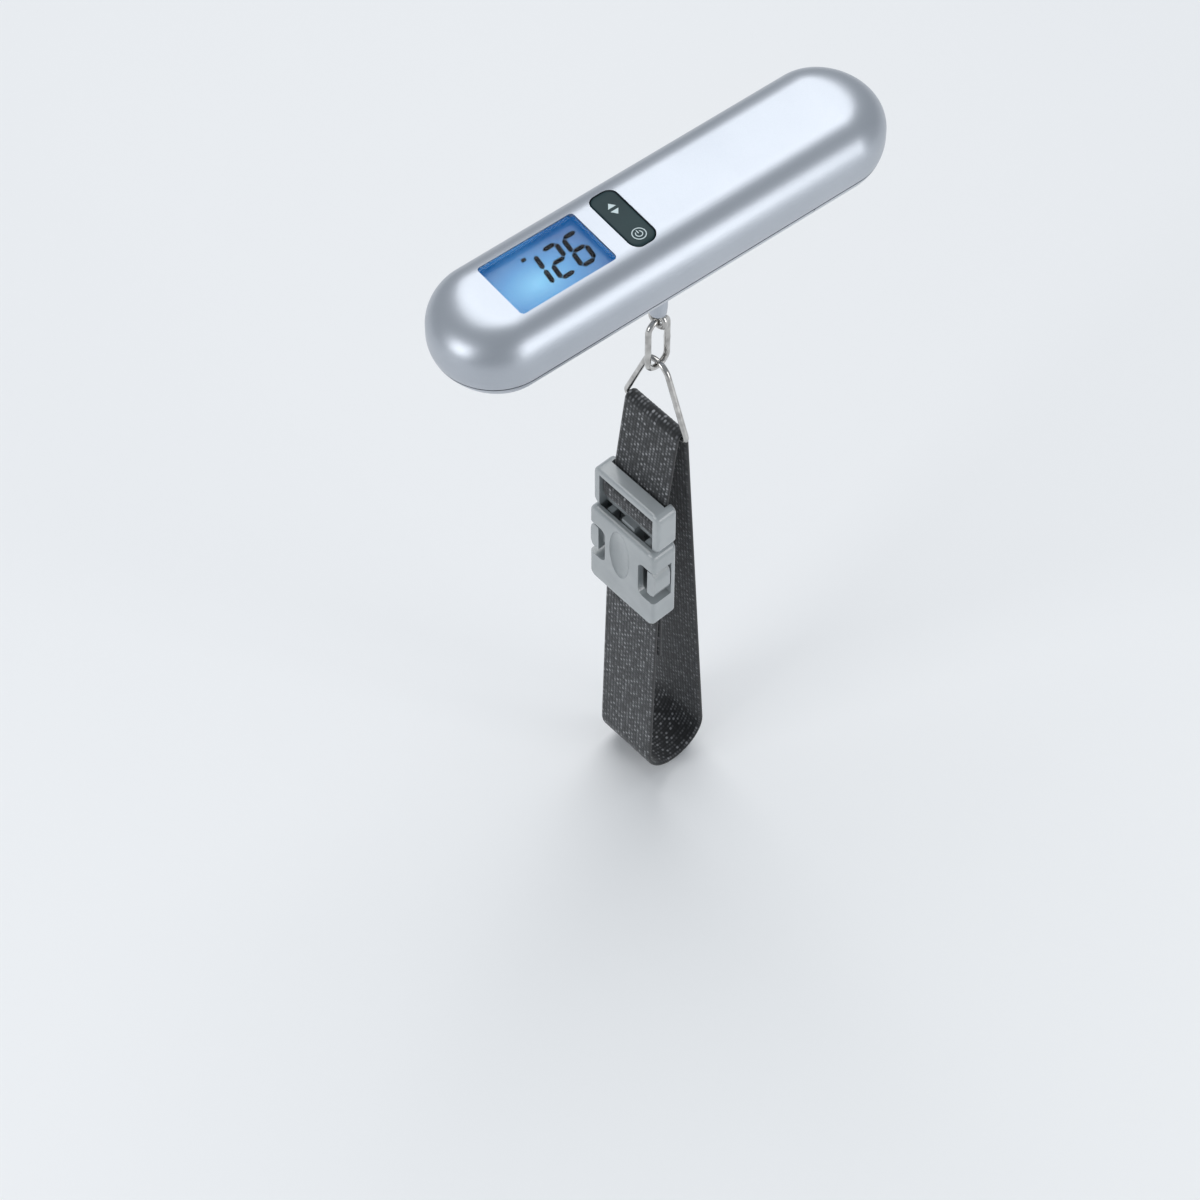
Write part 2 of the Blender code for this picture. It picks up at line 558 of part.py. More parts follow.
def tape_path():
    """The tape's centre line in X and Z, from its loose end round to its sewn end."""
    ladder_x, ladder_top, ladder_low = LADDER
    reverse = 2.0
    low = ladder_low - LADDER_TURN
    path = [(TAPE_BACK, TAPE_END)]
    path += arc((TAPE_BACK - reverse, low - reverse), reverse, 0, 90, 4)
    path += arc((ladder_x, ladder_low), LADDER_TURN, -90, -180, 5)
    path += arc((ladder_x, ladder_top), LADDER_TURN, 180, 90, 5)
    path += arc((ladder_x, ladder_top + LADDER_TURN + reverse), reverse, -90, 0, 4)
    bar, bar_turn = (0.0, RING_BAR), RING_WIRE + TAPE_REACH
    grip, grip_turn = GRIP[:2], GRIP[2]
    toward = Vector(bar) - Vector(path[-1])
    leave = math.degrees(math.atan2(toward.y, toward.x) + math.asin(bar_turn / toward.length)) + 90
    rear = tangent_angle(bar, bar_turn, grip, grip_turn)
    path += arc(bar, bar_turn, leave, rear, 10)
    rise = Vector(SEWN) - Vector(grip)
    front = math.degrees(math.atan2(rise.y, rise.x) + math.acos(grip_turn / rise.length))
    path += arc(grip, grip_turn, rear, front - 360, 20)
    socket, socket_turn = SOCKET_BAR[:2], SOCKET_BAR[2] + TAPE_REACH
    path += [SEWN] + arc(socket, socket_turn, 190, -10, 10)
    fold_x = SEWN[0] + TAPE + FIT
    return path + [(fold_x, SEWN[1] - 0.5), (fold_x, SEWN[1] - SEWN_LENGTH)]


def make_tape():
    """The webbing: one length of tape, folded to a loop and sewn at the socket."""
    bm = bmesh.new()
    edges = [[bm.verts.new((x, side * TAPE_WIDTH / 2, z)) for x, z in tape_path()]
             for side in (1, -1)]
    for a, b, c, d in zip(edges[0], edges[0][1:], edges[1][1:], edges[1]):
        bm.faces.new((a, b, c, d))
    tape = from_bmesh("strap_webbing", bm, "webbing")
    thick = tape.modifiers.new("thickness", "SOLIDIFY")
    thick.thickness = TAPE * MM
    thick.offset = 0.0
    return smooth(tape)


# ---------------------------------------------------------------- buckle

def slab(name, low, high, corner, edge, material=None):
    """A box whose outline in Y and Z has round corners, and whose front and back rims are eased."""
    mid_y, mid_z = (high[1] + low[1]) / 2, (high[2] + low[2]) / 2
    half_y, half_z = (high[1] - low[1]) / 2 - corner, (high[2] - low[2]) / 2 - corner
    outline = []
    for y, z, start in ((half_y, half_z, 0), (-half_y, half_z, 90),
                        (-half_y, -half_z, 180), (half_y, -half_z, 270)):
        outline += arc((mid_y + y, mid_z + z), corner, start, start + 90, 6)
    item = plate(name, outline, low[0], high[0], material)
    if not edge:
        return item
    eased = item.modifiers.new("eased_rims", "BEVEL")
    eased.width, eased.segments = edge * MM, 3
    eased.limit_method, eased.angle_limit = "ANGLE", math.radians(60)
    return item


def make_plug():
    """The buckle's plug: the frame that the tape is threaded through, and its guide tongue."""
    plug = slab("buckle_plug", *PLUG_FRAME, 3.0, 1.1, "buckle_grey")
    cut(plug, box("plug_slot", (-20, -SLOT_HALF, -138.8), (0, SLOT_HALF, -124.8)),
        box("plug_front_relief", (-20, -SLOT_HALF, -142.4), (-9.6, SLOT_HALF, -136.4)),
        box("plug_back_gap", (-7.8, -SLOT_HALF, -126.4), (0, SLOT_HALF, -113)))
    reach = LADDER_TURN - TAPE_REACH
    bar = box("ladder_bar", (LADDER[0] - reach, -14.6, LADDER[2] - reach),
              (-6.95, 14.6, LADDER[1] + reach), round_edges=1.6)
    join(plug, bar, box("guide_tongue", (-12.0, -3.0, -162.4), (-7.3, 3.0, -139.6)))
    return smooth(plug)


def make_arms():
    """The plug's two spring arms, each with a pad that shows in the socket's window."""
    y, z = ARM_PIVOT
    outline = [(y - 1.2, z + 1.6), (y + 1.2, z + 1.6), (y + 3.2, -149.8), (13.4, -152.6),
               (13.4, -163.0), (12.2, -163.4), (y + 1.2, -157.0)]
    pad = [(12.1, -151.9), (14.2, -151.6), (15.5, -152.9), (15.9, -154.9), (15.9, -161.2),
           (15.2, -163.2), (13.8, -164.0), (12.1, -163.8)]
    for name, side in (("plug_arm_left", 1), ("plug_arm_right", -1)):
        arm = plate(name, [(side * py, pz) for py, pz in outline], *ARM_X, "buckle_grey")
        join(arm, plate(name + "_pad", [(side * py, pz) for py, pz in pad], *PAD_X))
        set_origin(arm, (sum(ARM_X) / 2, side * y, z))
        bevel = arm.modifiers.new("edges", "BEVEL")
        bevel.width, bevel.segments, bevel.limit_method = 0.5 * MM, 2, "ANGLE"
        bevel.angle_limit = math.radians(50)
        smooth(arm, 50)


def make_socket():
    """The buckle's socket: a sleeve with two side windows, and the bar the tape is sewn round."""
    low, high = SOCKET
    socket = slab("buckle_socket", low, high, 3.0, 1.3, "buckle_grey")
    cut(socket, box("socket_cavity", *CAVITY))
    for name, side in (("left_window", 1), ("right_window", -1)):
        centre_y = side * (WINDOW_INNER + 10.0)
        cut(socket, slab(name, (-20.0, centre_y - 10.0, WINDOW_LOW),
                         (-7.0, centre_y + 10.0, WINDOW_TOP), 2.6, 0.0))
    bar_x, bar_z, bar_radius = SOCKET_BAR
    cut(socket, box("tape_pocket", (-12.7, -SLOT_HALF, -186.0), (-5.3, SLOT_HALF, -170.0)))
    join(socket, rod("sewn_bar", (bar_x, -14.2, bar_z), (bar_x, 14.2, bar_z), bar_radius, sides=20))
    bm = bmesh.new()
    bmesh.ops.create_uvsphere(bm, u_segments=28, v_segments=14, radius=1.0)
    bmesh.ops.scale(bm, vec=(2.3, 5.0, 12.4), verts=bm.verts)
    bmesh.ops.translate(bm, vec=(low[0] - 0.3, *DIMPLE), verts=bm.verts)
    cut(socket, from_bmesh("thumb_dimple", bm))
    return smooth(socket)


def set_origin(item, point):
    """Move an object's origin to a point, and leave its shape where it is."""
    point = Vector(point) * MM
    item.data.transform(Matrix.Translation(-point))
    item.location = point


def turn_strap():
    """Turn the eye and all that hangs from it about the neck's axis, with the cutters they use."""
    swivel = Matrix.Rotation(math.radians(SWIVEL), 4, "Z")
    hung = [bpy.data.objects[name] for name in HUNG]
    for part in hung:
        tools = [m.object for m in part.modifiers if m.type == "BOOLEAN"]
        for item in [part, *tools]:
            item.matrix_basis = swivel @ item.matrix_basis


def main():
    for item in list(bpy.data.objects):
        bpy.data.objects.remove(item, do_unlink=True)
    make_materials()
    make_upper_case()
    make_lower_case()
    make_battery_door()
    make_display()
    make_key()
    make_board()
    make_load_cell()
    make_case_screws()
    make_battery()
    make_eye()
    make_link()
    make_ring()
    make_tape()
    make_plug()
    make_arms()
    make_socket()
    turn_strap()


main()
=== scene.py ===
"""Looks of the digital luggage scale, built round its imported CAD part.

Lengths are in millimetres in the helpers, which turn them into metres. +X runs along the case away
from the display, +Y away from the reader, +Z up, and the origin is the middle of the case.
"""
import json
import math

import bmesh
import bpy
import numpy as np
from mathutils import Matrix, Vector


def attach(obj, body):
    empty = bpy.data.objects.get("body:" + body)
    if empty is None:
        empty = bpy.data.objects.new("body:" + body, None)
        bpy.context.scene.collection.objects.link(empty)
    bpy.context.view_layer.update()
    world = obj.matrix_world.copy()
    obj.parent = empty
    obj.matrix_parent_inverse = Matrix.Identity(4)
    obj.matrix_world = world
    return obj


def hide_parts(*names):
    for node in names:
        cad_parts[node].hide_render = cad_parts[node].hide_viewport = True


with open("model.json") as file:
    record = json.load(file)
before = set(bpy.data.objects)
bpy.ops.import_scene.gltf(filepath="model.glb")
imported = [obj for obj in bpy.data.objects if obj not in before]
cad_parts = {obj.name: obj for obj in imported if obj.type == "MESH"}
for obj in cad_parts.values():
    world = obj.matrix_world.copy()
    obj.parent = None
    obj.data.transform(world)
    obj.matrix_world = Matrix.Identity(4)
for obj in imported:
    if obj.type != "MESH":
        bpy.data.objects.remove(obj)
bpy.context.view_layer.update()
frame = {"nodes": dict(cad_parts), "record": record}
NODES = frame["nodes"]
MM = 0.001

# Case
BODY_LENGTH, BODY_WIDTH = 169.5, 41.5
BODY_TOP, BODY_BOTTOM = 15.5, -15.5
WAIST_TOP, WAIST_LOW = 2.5, 0.0
TOP_ROUND, LOW_ROUND, END_ROUND = 11.5, 13.0, 1.35
SEAM, SEAM_GAP, WALL = -4.8, 0.7, 2.0
TRAY, COIN_X, COIN_RADIUS = (-6.2, -5.0), 59.0, 10.0
CAP_STEPS, EDGE_STEPS = 64, 26
DOOR_X = 46.0
SCREWS = ((-72.5, 0.0), (4.0, 12.5), (4.0, -12.5), (72.5, 0.0))
WINDOW_X, WINDOW_SIZE, WINDOW_CORNER = -43.5, (36.4, 22.8), 1.4
KEY_X, KEY_SIZE, KEY_CORNER, KEY_GAP = -14.5, (9.4, 24.2), 3.3, 0.35

# What hangs from the neck is turned from the case by this much.
SWIVEL = math.radians(4.0)
HUNG = ("eye", "link", "ring", "strap", "arm_left", "arm_right")

# Hanger
EYE_Z, EYE_RADIUS, EYE_WIRE = -42.8, 3.2, 1.0
LINK_TOP, LINK_BOTTOM, LINK_HALF, LINK_WIRE = -43.6, -66.4, 4.1, 1.05
RING_APEX, RING_APEX_RADIUS = -64.1, 5.6
RING_BAR, RING_HALF, RING_CORNER, RING_WIRE = -92.6, 14.0, 1.6, 1.0

# Webbing, whose path is a row of points in X and Z
TAPE_WIDTH, TAPE = 25.0, 1.5
TAPE_REACH = TAPE / 2 + 0.3          # from what the tape goes round to its centre line
GRIP = (0.4, -264.0, 12.4)           # the turn at the bottom of the loop
SOCKET_BAR = (-9.0, -173.8, 1.5)
LADDER = (-8.6, -129.8, -133.8)
LADDER_TURN = 2.7
TAPE_BACK, TAPE_END = -3.4, -156.0
SEWN, SEWN_LENGTH = (-9.7, -184.3), 22.0
TAPE_REVERSE = 2.0                   # radius where the tape bends back from the ladder bar
RIBS, RIB_SAMPLES = 18, 4            # ribs across the tape, and mesh columns to a rib
PICK, PICK_SAMPLES = 1.2, 4          # length of one crossing thread, and mesh rows to it
RELIEF = 0.13
STITCH_BOX = 8.6                     # half the width of the stitched box
STITCH, THREAD_RADIUS = 2.3, 0.24

# Display figures: the height of the LCD's face, and each figure with its left edge
LCD_FACE = 11.68
READING = (("1", -50.0), ("2", -42.0), ("6", -34.2))
FIGURE_BASE, FIGURE_SIZE, FIGURE_THICK, FIGURE_SLANT = -5.4, (5.0, 12.2), 1.65, 0.16

# Stage
FLOOR_Z = -0.2795
CAMERA_ANGLES = (-38.2, 54.0)        # azimuth and elevation
CAMERA_OFFSET = (-0.01825, -0.1139)  # what the camera looks at, right and up of the origin
CAMERA_DISTANCE, CAMERA_LENS = 1.35, 132.0


# ---------------------------------------------------------------- mesh helpers

def link(item, body, material=None, stands_for=()):
    """Show an object as a piece that rides on a body, turned with the strap if it hangs on it."""
    if body in HUNG:
        item.data.transform(Matrix.Rotation(SWIVEL, 4, "Z"))
    if item.name not in bpy.context.scene.collection.objects:
        bpy.context.scene.collection.objects.link(item)
    if material:
        item.data.materials.clear()
        item.data.materials.append(material)
    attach(item, body)
    if stands_for:
        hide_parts(*stands_for)
    return item


def from_bmesh(name, bm):
    """An object from a bmesh in millimetres."""
    bmesh.ops.scale(bm, vec=(MM, MM, MM), verts=bm.verts)
    bmesh.ops.recalc_face_normals(bm, faces=bm.faces)
    mesh = bpy.data.meshes.new(name)
    bm.to_mesh(mesh)
    bm.free()
    item = bpy.data.objects.new(name, mesh)
    bpy.context.scene.collection.objects.link(item)
    return item


def prism(name, outline, z_low, z_high):
    """A flat outline of (x, y) points, extruded up."""
    bm = bmesh.new()
    face = bm.faces.new([bm.verts.new((x, y, z_low)) for x, y in outline])
    raised = [g for g in bmesh.ops.extrude_face_region(bm, geom=[face])["geom"]
              if isinstance(g, bmesh.types.BMVert)]
    bmesh.ops.translate(bm, vec=(0, 0, z_high - z_low), verts=raised)
    return from_bmesh(name, bm)


def rod(name, start, end, radius, sides=32):
    """A cylinder between two points."""
    start, end = Vector(start), Vector(end)
    bm = bmesh.new()
    bmesh.ops.create_cone(bm, cap_ends=True, segments=sides, radius1=radius, radius2=radius,
                          depth=(end - start).length)
    turn = (end - start).to_track_quat("Z", "Y").to_matrix().to_4x4()
    bmesh.ops.transform(bm, matrix=Matrix.Translation((start + end) / 2) @ turn, verts=bm.verts)
    return from_bmesh(name, bm)


def block(name, low, high):
    """A plain box between two corners."""
    return prism(name, [(low[0], low[1]), (high[0], low[1]), (high[0], high[1]),
                        (low[0], high[1])], low[2], high[2])


def turned(name, profile, steps=64):
    """A closed profile of (radius, z) points, turned once about the Z axis."""
    bm = bmesh.new()
    rings = []
    for step in range(steps):
        a = 2 * math.pi * step / steps
        rings.append([bm.verts.new((r * math.cos(a), r * math.sin(a), z)) for r, z in profile])
    for first, second in zip(rings, rings[1:] + rings[:1]):
        for a, b, c, d in zip(first, first[1:] + first[:1], second[1:] + second[:1], second):
            bm.faces.new((a, b, c, d))
    return from_bmesh(name, bm)


def wire_mesh(name, points, radius, sides=20, bulge=None):
    """A closed round wire through points, with an optional radius for each point."""
    bm = bmesh.new()
    count = len(points)
    points = [Vector(p) for p in points]
    normal = Vector((0, 0, 0))
    for a, b in zip(points, points[1:] + points[:1]):
        normal += a.cross(b)
    normal.normalize()
    rings = []
    for i, point in enumerate(points):
        tangent = (points[(i + 1) % count] - points[i - 1]).normalized()
        out = tangent.cross(normal)
        r = radius * (bulge(point) if bulge else 1.0)
        rings.append([bm.verts.new(point + r * (math.cos(t) * out + math.sin(t) * normal))
                      for t in (2 * math.pi * k / sides for k in range(sides))])
    for first, second in zip(rings, rings[1:] + rings[:1]):
        for a, b, c, d in zip(first, first[1:] + first[:1], second[1:] + second[:1], second):
            bm.faces.new((a, b, c, d))
    item = from_bmesh(name, bm)
    item.data.shade_smooth()
    return item


def boolean(part, tool, operation="DIFFERENCE"):
    """Apply one Boolean and remove its tool."""
    modifier = part.modifiers.new("cut", "BOOLEAN")
    modifier.operation, modifier.object, modifier.solver = operation, tool, "EXACT"
    graph = bpy.context.evaluated_depsgraph_get()
    mesh = bpy.data.meshes.new_from_object(part.evaluated_get(graph))
    old = part.data
    part.modifiers.clear()
    part.data = mesh
    mesh.name = part.name
    bpy.data.meshes.remove(old)
    bpy.data.objects.remove(tool)
    return part


def bevel(item, width, segments=3, angle=40.0):
    """Round the sharp edges by a modifier."""
    modifier = item.modifiers.new("round", "BEVEL")
    modifier.width, modifier.segments = width * MM, segments
    modifier.limit_method, modifier.angle_limit = "ANGLE", math.radians(angle)
    modifier.harden_normals = False
    return item


def smooth(item, angle=35.0):
    """Shade smooth, with edges over this angle kept sharp."""
    item.data.shade_smooth()
    item.data.set_sharp_from_angle(angle=math.radians(angle))
    return item


def arc(centre, radius, start, end, steps):
    """Points on an arc between two angles in degrees."""
    angles = [math.radians(start + (end - start) * step / steps) for step in range(steps + 1)]
    return [(centre[0] + radius * math.cos(a), centre[1] + radius * math.sin(a)) for a in angles]


def tangent_angle(first, first_radius, second, second_radius):
    """Angle in degrees of the normal at which one line touches both circles on its left side."""
    gap = Vector(second) - Vector(first)
    swing = math.acos((first_radius - second_radius) / gap.length)
    return math.degrees(math.atan2(gap.y, gap.x) + swing)


def oblong(centre, size, corner, steps=10):
    """Outline of a rectangle with round corners."""
    hx, hy = size[0] / 2 - corner, size[1] / 2 - corner
    points = []
    for sx, sy, start in ((1, 1, 0), (-1, 1, 90), (-1, -1, 180), (1, -1, 270)):
        points += arc((centre[0] + sx * hx, centre[1] + sy * hy), corner, start, start + 90, steps)
    return points


# ---------------------------------------------------------------- materials

class Nodes:
    """A material under construction: makes nodes and joins them in short lines."""

    def __init__(self, name, **uniform):
        self.material = bpy.data.materials.new(name)
        self.material.use_nodes = True
        self.tree = self.material.node_tree
        self.shader = self.tree.nodes["Principled BSDF"]
        for socket, value in uniform.items():
            self.shader.inputs[socket.replace("_", " ")].default_value = value

    def add(self, kind, **values):
        node = self.tree.nodes.new("ShaderNode" + kind)
        for key, value in values.items():
            if key in node.inputs:
                node.inputs[key].default_value = value
            else:
                setattr(node, key, value)
        return node

    def join(self, source, target):
        self.tree.links.new(source, target)

    def to_shader(self, source, socket):
        self.join(source, self.shader.inputs[socket])

    def texture(self, kind, scale, coordinates="Object", **values):
        """A texture node on object coordinates, whose unit is a metre, so scale is per metre."""
        space = self.add("TexCoord")
        node = self.add("Tex" + kind, Scale=scale, **values)
        self.join(space.outputs[coordinates], node.inputs["Vector"])
        return node

    def ramp(self, source, stops):
        node = self.add("ValToRGB")
        band = node.color_ramp
        while len(band.elements) < len(stops):
            band.elements.new(0.5)
        for element, (position, colour) in zip(band.elements, stops):
            element.position = position
            element.color = (*colour, 1.0)
        self.join(source, node.inputs["Fac"])
        return node.outputs["Color"]

    def span(self, source, low, high):
        node = self.add("MapRange")
        node.inputs["To Min"].default_value = low
        node.inputs["To Max"].default_value = high
        self.join(source, node.inputs["Value"])
        return node.outputs["Result"]

    def bump(self, source, strength, distance):
        node = self.add("Bump", Strength=strength, Distance=distance)
        self.join(source, node.inputs["Height"])
        self.to_shader(node.outputs["Normal"], "Normal")


def speckled(name, dark, light, scale, rough, bump=0.05, metallic=0.0, **uniform):
    """Moulded or painted surface: a slight speckle in colour, roughness and relief."""
    m = Nodes(name, Metallic=metallic, **uniform)
    broad = m.texture("Noise", scale / 40, Detail=3.0)
    fine = m.texture("Noise", scale, Detail=4.0)
    m.to_shader(m.ramp(broad.outputs["Fac"], [(0.35, dark), (0.65, light)]), "Base Color")
    m.to_shader(m.span(fine.outputs["Fac"], rough - 0.05, rough + 0.05), "Roughness")
    m.bump(fine.outputs["Fac"], bump, 0.0001)
    return m.material


def case_paint():
    """Fine silver paint: flakes that vary in brightness, under a thin satin lacquer."""
    m = Nodes("case_paint", Metallic=0.7, Coat_Weight=0.15, Coat_Roughness=0.2)
    flakes = m.texture("Voronoi", 6000.0)
    broad = m.texture("Noise", 25.0, Detail=2.0)
    mixed = m.add("Mix", data_type="RGBA", blend_type="MULTIPLY")
    mixed.inputs["Factor"].default_value = 0.35
    m.join(m.ramp(broad.outputs["Fac"], [(0.3, (0.44, 0.47, 0.515)), (0.7, (0.48, 0.51, 0.555))]),
           mixed.inputs["A"])
    m.join(m.ramp(flakes.outputs["Distance"], [(0.0, (1.0, 1.0, 1.0)), (0.9, (0.78, 0.80, 0.84))]),
           mixed.inputs["B"])
    m.to_shader(mixed.outputs["Result"], "Base Color")
    m.to_shader(m.span(flakes.outputs["Distance"], 0.34, 0.43), "Roughness")
    m.bump(flakes.outputs["Distance"], 0.03, 0.00005)
    return m.material


def display_glow():
    """The lit LCD: bright in its middle and deeper blue towards its edges."""
    m = Nodes("display_glow", Roughness=0.35, Emission_Strength=1.0)
    space = m.add("TexCoord")
    placed = m.add("Mapping")
    placed.inputs["Location"].default_value = (-(WINDOW_X - 5.0) * MM, 2.5 * MM, 0.0)
    m.join(space.outputs["Object"], placed.inputs["Vector"])
    shaped = m.add("VectorMath", operation="MULTIPLY")
    shaped.inputs[1].default_value = (1 / (24 * MM), 1 / (15 * MM), 0.0)
    m.join(placed.outputs["Vector"], shaped.inputs[0])
    reach = m.add("VectorMath", operation="LENGTH")
    m.join(shaped.outputs["Vector"], reach.inputs[0])
    glow = m.ramp(reach.outputs["Value"], [(0.0, (0.17, 0.50, 0.74)), (0.5, (0.045, 0.24, 0.52)),
                                           (1.0, (0.006, 0.09, 0.28))])
    m.to_shader(glow, "Emission Color")
    face = [(0.0, (0.04, 0.08, 0.12)), (1.0, (0.01, 0.03, 0.07))]
    m.to_shader(m.ramp(reach.outputs["Value"], face), "Base Color")
    return m.material


def webbing_weave():
    """Dark woven yarn with painted light: the colour follows the threads' height, so the raised threads
    carry a painted highlight and the valleys between them painted shade, near black.
    """
    m = Nodes("webbing_weave", Sheen_Weight=0.25, Sheen_Roughness=0.5)
    # The attribute read here is the threads' height times a random tone for each crossing; the ramp
    # below paints it as shade in the valleys and as a highlight on the raised threads.
    height = m.add("Attribute", attribute_name="weave_shade_and_tone")
    fibres = m.texture("Noise", 5500.0, Detail=2.0)
    colour = m.ramp(height.outputs["Fac"], [(0.0, (0.003, 0.004, 0.005)), (0.3, (0.022, 0.024, 0.027)),
                                            (0.6, (0.11, 0.113, 0.12)), (1.0, (0.36, 0.365, 0.38))])
    mixed = m.add("Mix", data_type="RGBA", blend_type="MULTIPLY")
    mixed.inputs["Factor"].default_value = 0.7
    m.join(colour, mixed.inputs["A"])
    m.join(m.ramp(fibres.outputs["Fac"], [(0.3, (0.5, 0.5, 0.5)), (0.7, (1.3, 1.3, 1.3))]),
           mixed.inputs["B"])
    m.to_shader(mixed.outputs["Result"], "Base Color")
    m.to_shader(m.span(fibres.outputs["Fac"], 0.6, 0.85), "Roughness")
    m.bump(fibres.outputs["Fac"], 0.35, 0.0002)
    return m.material


def plated_wire():
    """Bright nickel plate, very slightly drawn along the wire."""
    m = Nodes("plated_wire", Metallic=1.0)
    broad = m.texture("Noise", 260.0, Detail=4.0)
    m.to_shader(m.ramp(broad.outputs["Fac"], [(0.3, (0.34, 0.33, 0.32)), (0.7, (0.60, 0.59, 0.57))]),
                "Base Color")
    m.to_shader(m.span(broad.outputs["Fac"], 0.10, 0.24), "Roughness")
    m.bump(broad.outputs["Fac"], 0.08, 0.0002)
    return m.material


def clear_lens():
    """The hard-coated clear window over the display."""
    m = Nodes("clear_lens", Transmission_Weight=1.0, IOR=1.14)
    smear = m.texture("Noise", 180.0)
    m.to_shader(m.ramp(smear.outputs["Fac"], [(0.3, (0.93, 0.96, 0.99)), (0.7, (0.97, 0.98, 1.0))]),
                "Base Color")
    m.to_shader(m.span(smear.outputs["Fac"], 0.0, 0.04), "Roughness")
    return m.material


PAINT = case_paint()
BUCKLE = speckled("buckle_plastic", (0.30, 0.325, 0.335), (0.36, 0.385, 0.395), 2600, 0.24, 0.05,
                  Coat_Weight=0.5, Coat_Roughness=0.14)
KEY = speckled("key_rubber", (0.005, 0.026, 0.031), (0.009, 0.035, 0.040), 3000, 0.55, 0.08,
               Specular_IOR_Level=0.35)
MARK = speckled("printed_mark", (0.55, 0.66, 0.68), (0.66, 0.76, 0.78), 1500, 0.5)
DIGIT = speckled("lcd_segment", (0.001, 0.002, 0.004), (0.002, 0.003, 0.006), 900, 0.8,
                 Specular_IOR_Level=0.1)
WEAVE = webbing_weave()
THREAD = speckled("sewing_thread", (0.055, 0.058, 0.062), (0.10, 0.105, 0.11), 6000, 0.7, 0.3)
WIRE = plated_wire()
LENS = clear_lens()
STEEL = speckled("plain_steel", (0.40, 0.40, 0.41), (0.58, 0.58, 0.59), 1500, 0.28, 0.05, 1.0)

CAD_LOOKS = {
    "clear_lens": LENS,
    "display_blue": display_glow(),
    "white_plastic": speckled("white_moulding", (0.74, 0.75, 0.75), (0.82, 0.83, 0.83), 1500, 0.45),
    "black_rubber": speckled("black_rubber", (0.012, 0.012, 0.013), (0.025, 0.025, 0.026), 2000, 0.6),
    "red_insulation": speckled("red_insulation", (0.35, 0.02, 0.02), (0.5, 0.03, 0.03), 1500, 0.45),
    "board_green": speckled("solder_resist", (0.01, 0.12, 0.05), (0.02, 0.2, 0.09), 1200, 0.35),
    "black_plastic": speckled("black_moulding", (0.012, 0.012, 0.013), (0.03, 0.03, 0.03), 2000, 0.5),
    "steel": STEEL,
    "aluminium": speckled("machined_aluminium", (0.6, 0.61, 0.63), (0.74, 0.75, 0.77), 1200, 0.35,
                          0.05, 1.0),
    "brass": speckled("brass_strip", (0.55, 0.40, 0.16), (0.72, 0.54, 0.24), 1200, 0.28, 0.05, 1.0),
    "gauge_film": speckled("gauge_film", (0.5, 0.3, 0.06), (0.68, 0.42, 0.1), 1500, 0.45),
    "case_silver": PAINT,
    "key_dark": KEY,
    "plated_wire": WIRE,
    "webbing": WEAVE,
    "buckle_grey": BUCKLE,
}


# ---------------------------------------------------------------- case

def edge_inset(z, wall):
    """How far the surface behind a wall has come in from its widest outline at height z."""
    if WAIST_LOW <= z <= WAIST_TOP:
        return 0.0
    if z > WAIST_TOP:
        reach, height, share = TOP_ROUND - wall, BODY_TOP - wall - WAIST_TOP, z - WAIST_TOP
    else:
        reach, height, share = LOW_ROUND - wall, WAIST_LOW - BODY_BOTTOM - wall, WAIST_LOW - z
    return reach * (1 - math.sqrt(max(0.0, 1 - (share / height) ** 2)))


def case_outline(z, wall):
    """The case's outline at height z, with the straight sides divided too."""
    inset = edge_inset(z, wall)
    straight = (BODY_LENGTH - BODY_WIDTH) / 2
    half_width = BODY_WIDTH / 2 - wall - inset
    end_reach = BODY_WIDTH / 2 - wall - END_ROUND * inset
    points = []
    for side in (1, -1):
        for step in range(CAP_STEPS + 1):
            angle = math.pi * (step / CAP_STEPS - 0.5)
            points.append((side * (straight + end_reach * math.cos(angle)),
                           side * half_width * math.sin(angle), z))
    return points


def pill(name, z_low, z_high, wall=0.0):
    """A closed slice of the case's outer shape, or of the space behind a wall of it."""
    quarter = [math.sin(math.radians(90 * step / EDGE_STEPS)) for step in range(EDGE_STEPS + 1)]
    heights = [WAIST_TOP + (BODY_TOP - wall - WAIST_TOP) * share for share in quarter]
    heights += [WAIST_LOW - (WAIST_LOW - BODY_BOTTOM - wall) * share for share in quarter]
    kept = sorted(z for z in heights if z_low + 0.1 < z < z_high - 0.02)
    levels = [z_low]
    for z in kept + [z_high]:
        if z - levels[-1] > 0.002:
            levels.append(z)
    bm = bmesh.new()
    rings = [[bm.verts.new(point) for point in case_outline(z, wall)] for z in levels]
    for lower, upper in zip(rings, rings[1:]):
        for a, b, c, d in zip(lower, lower[1:] + lower[:1], upper[1:] + upper[:1], upper):
            bm.faces.new((a, b, c, d))
    bm.faces.new(rings[0])
    bm.faces.new(rings[-1])
    return from_bmesh(name, bm)


